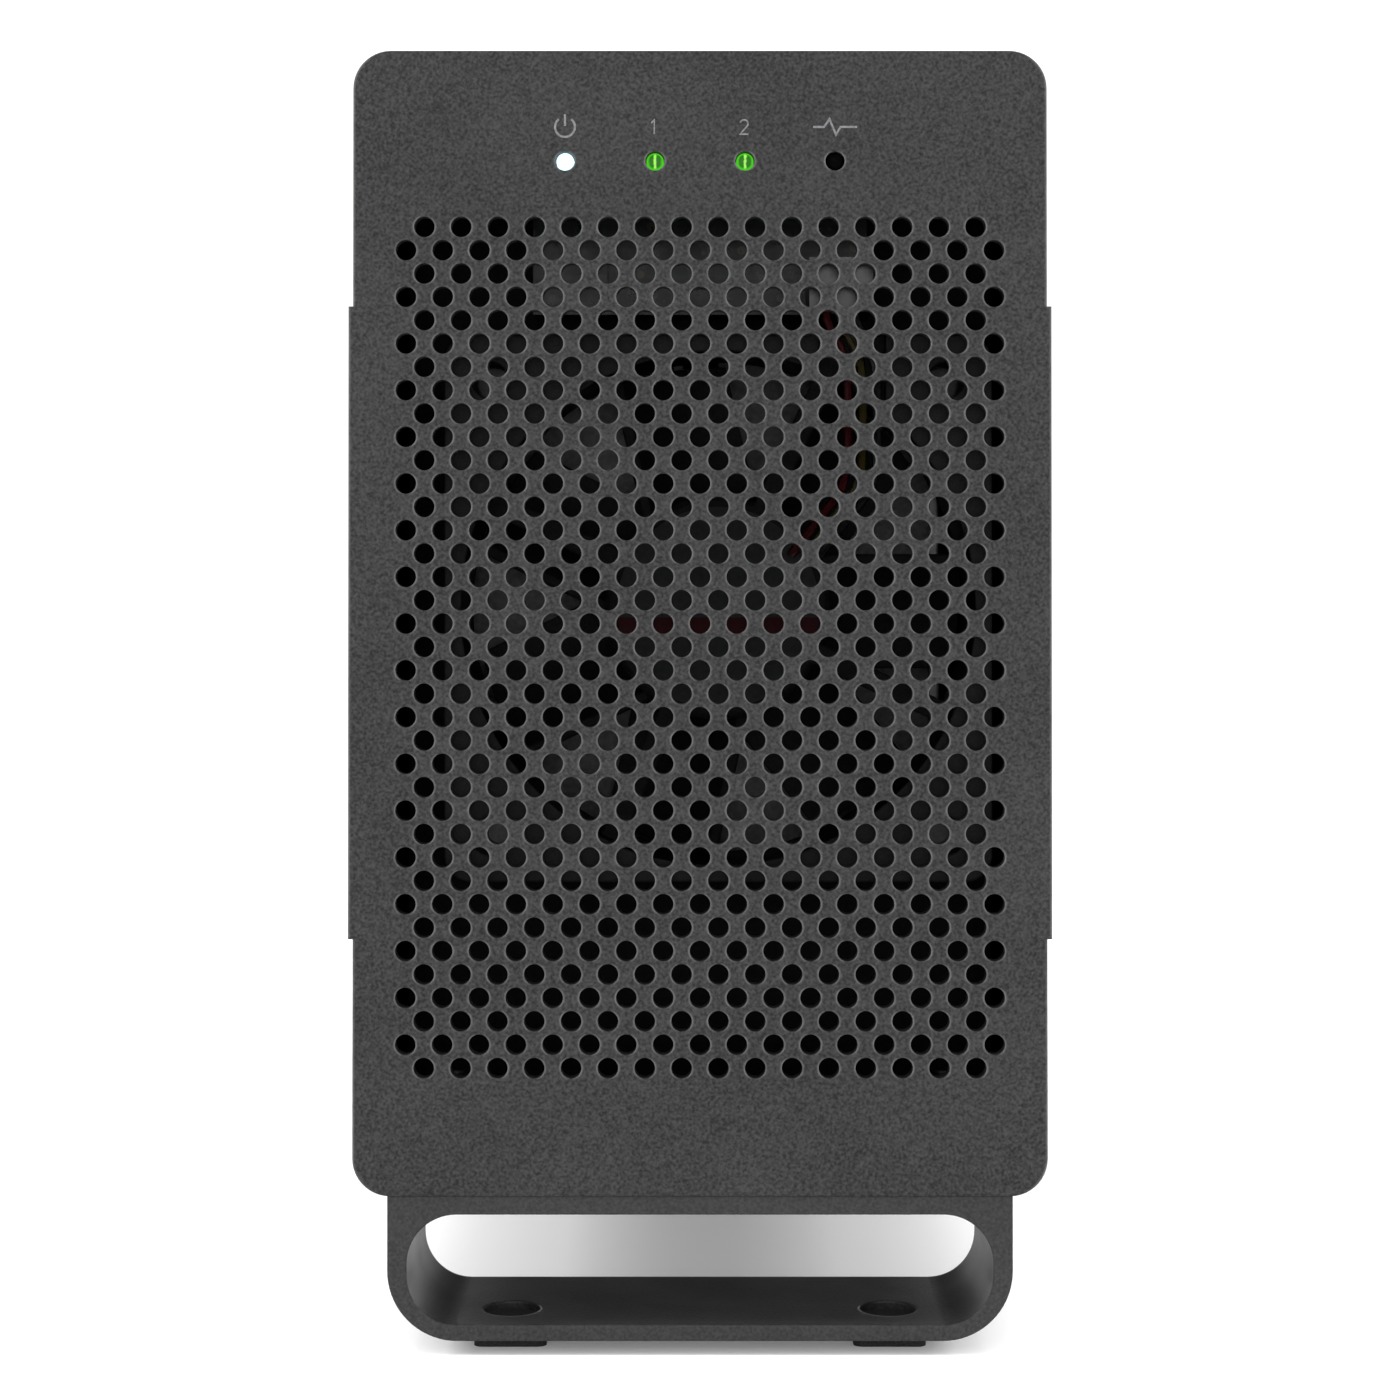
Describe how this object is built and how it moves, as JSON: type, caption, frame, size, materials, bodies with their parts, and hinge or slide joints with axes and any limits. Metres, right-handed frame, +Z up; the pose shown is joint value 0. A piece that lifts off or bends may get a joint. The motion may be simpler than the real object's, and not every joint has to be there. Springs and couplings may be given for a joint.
{
  "type": "network attached storage",
  "caption": "Upright two-drive network storage box with a perforated metal front, indicator lights, a case that slides back off its chassis, and loop feet.",
  "frame": {"origin": "on the floor under the middle of the object", "axes": "+Z up, the front plate faces -Y, +X to the right seen from the front"},
  "size_m": [0.0764, 0.2, 0.1419],
  "materials": {
    "case_grey": "fine textured powder coat",
    "loop_grey": "smooth satin coat",
    "rubber": "matt",
    "black_screws": "black zinc",
    "steel_fasteners": "bright zinc",
    "sheet_steel": "galvanised",
    "dark_sheet": "black coat",
    "fan_plastic": "moulded",
    "copper_coil": "enamelled wire",
    "label_grey": "printed film",
    "wire_red": "satin",
    "wire_yellow": "satin",
    "wire_black": "satin",
    "plug_white": "moulded",
    "circuit_board": "solder mask",
    "black_plastic": "moulded",
    "button_plastic": "satin",
    "light_white": "lit, clear",
    "light_green": "lit, clear",
    "light_off": "unlit",
    "ribbon_grey": "flat cable",
    "cast_aluminium": "die cast",
    "drive_lid": "pressed",
    "platter_metal": "polished",
    "arm_metal": "machined",
    "heat_sink_black": "black anodised",
    "coin_steel": "satin",
    "plated_steel": "tin plated"
  },
  "bodies": {
    "case": {"sleeve": "case_grey", "rear_plate": "case_grey", "front_loop": "loop_grey", "rear_loop": "loop_grey", "rubber_feet": "rubber", "loop_screws": "steel_fasteners", "rear_plate_screws": "black_screws", "chassis_screws": "black_screws"},
    "chassis": {"front_plate": "case_grey", "front_studs": "steel_fasteners", "front_nuts": "steel_fasteners", "chassis_base": "sheet_steel", "chassis_top": "sheet_steel", "fan_bulkhead": "dark_sheet", "bulkhead_screws": "steel_fasteners", "fan_frame": "fan_plastic", "fan_stator": "copper_coil", "fan_label": "label_grey", "fan_screws": "steel_fasteners", "fan_wire_red": "wire_red", "fan_wire_yellow": "wire_yellow", "fan_wire_black": "wire_black", "fan_plug": "plug_white", "light_board": "circuit_board", "light_board_screws": "steel_fasteners", "light_pipe_holder": "black_plastic", "light_pipe_power": "light_white", "light_pipe_drive_1": "light_green", "light_pipe_drive_2": "light_green", "light_pipe_activity": "light_off", "ribbon_cable": "ribbon_grey", "drive_1_base": "cast_aluminium", "drive_1_cover": "drive_lid", "drive_1_board": "circuit_board", "drive_2_base": "cast_aluminium", "drive_2_cover": "drive_lid", "drive_2_board": "circuit_board", "drive_screws": "steel_fasteners", "main_board": "circuit_board", "main_board_screws": "steel_fasteners", "sata_sockets": "black_plastic", "heat_sink": "heat_sink_black", "coin_cell": "coin_steel", "ethernet_jack": "plated_steel", "usb_jack": "plated_steel", "power_jack": "black_plastic", "power_switch": "black_plastic", "reset_switch": "black_plastic"},
    "fan_rotor": {"fan_rotor": "fan_plastic"},
    "drive_1_platters": {"drive_1_platters": "platter_metal"},
    "drive_2_platters": {"drive_2_platters": "platter_metal"},
    "drive_1_actuator": {"drive_1_actuator": "arm_metal"},
    "drive_2_actuator": {"drive_2_actuator": "arm_metal"},
    "power_button": {"power_button": "button_plastic"},
    "reset_button": {"reset_button": "button_plastic"}
  },
  "joints": [
    {"name": "case_slide", "type": "slide", "parent": "chassis", "child": "case", "axis": [0, 1, 0], "range_m": [0, 0.16]},
    {"name": "fan_spin", "type": "hinge", "parent": "chassis", "child": "fan_rotor", "pos_m": [0.002, -0.0875, 0.0812], "axis": [0, -1, 0], "continuous": true},
    {"name": "drive_1_spin", "type": "hinge", "parent": "chassis", "child": "drive_1_platters", "pos_m": [-0.012, -0.0252, 0.077], "axis": [1, 0, 0], "continuous": true},
    {"name": "drive_2_spin", "type": "hinge", "parent": "chassis", "child": "drive_2_platters", "pos_m": [0.018, -0.0252, 0.077], "axis": [1, 0, 0], "continuous": true},
    {"name": "drive_1_swing", "type": "hinge", "parent": "chassis", "child": "drive_1_actuator", "pos_m": [-0.012, 0.027, 0.0662], "axis": [1, 0, 0], "range_deg": [0, 33]},
    {"name": "drive_2_swing", "type": "hinge", "parent": "chassis", "child": "drive_2_actuator", "pos_m": [0.018, 0.027, 0.0662], "axis": [1, 0, 0], "range_deg": [0, 33]},
    {"name": "power_press", "type": "slide", "parent": "chassis", "child": "power_button", "axis": [0, -1, 0], "range_m": [0, 0.0012], "stiffness_N_per_m": 500, "springref_m": -0.001},
    {"name": "reset_press", "type": "slide", "parent": "chassis", "child": "reset_button", "axis": [0, -1, 0], "range_m": [0, 0.0006], "stiffness_N_per_m": 400, "springref_m": -0.001}
  ]
}
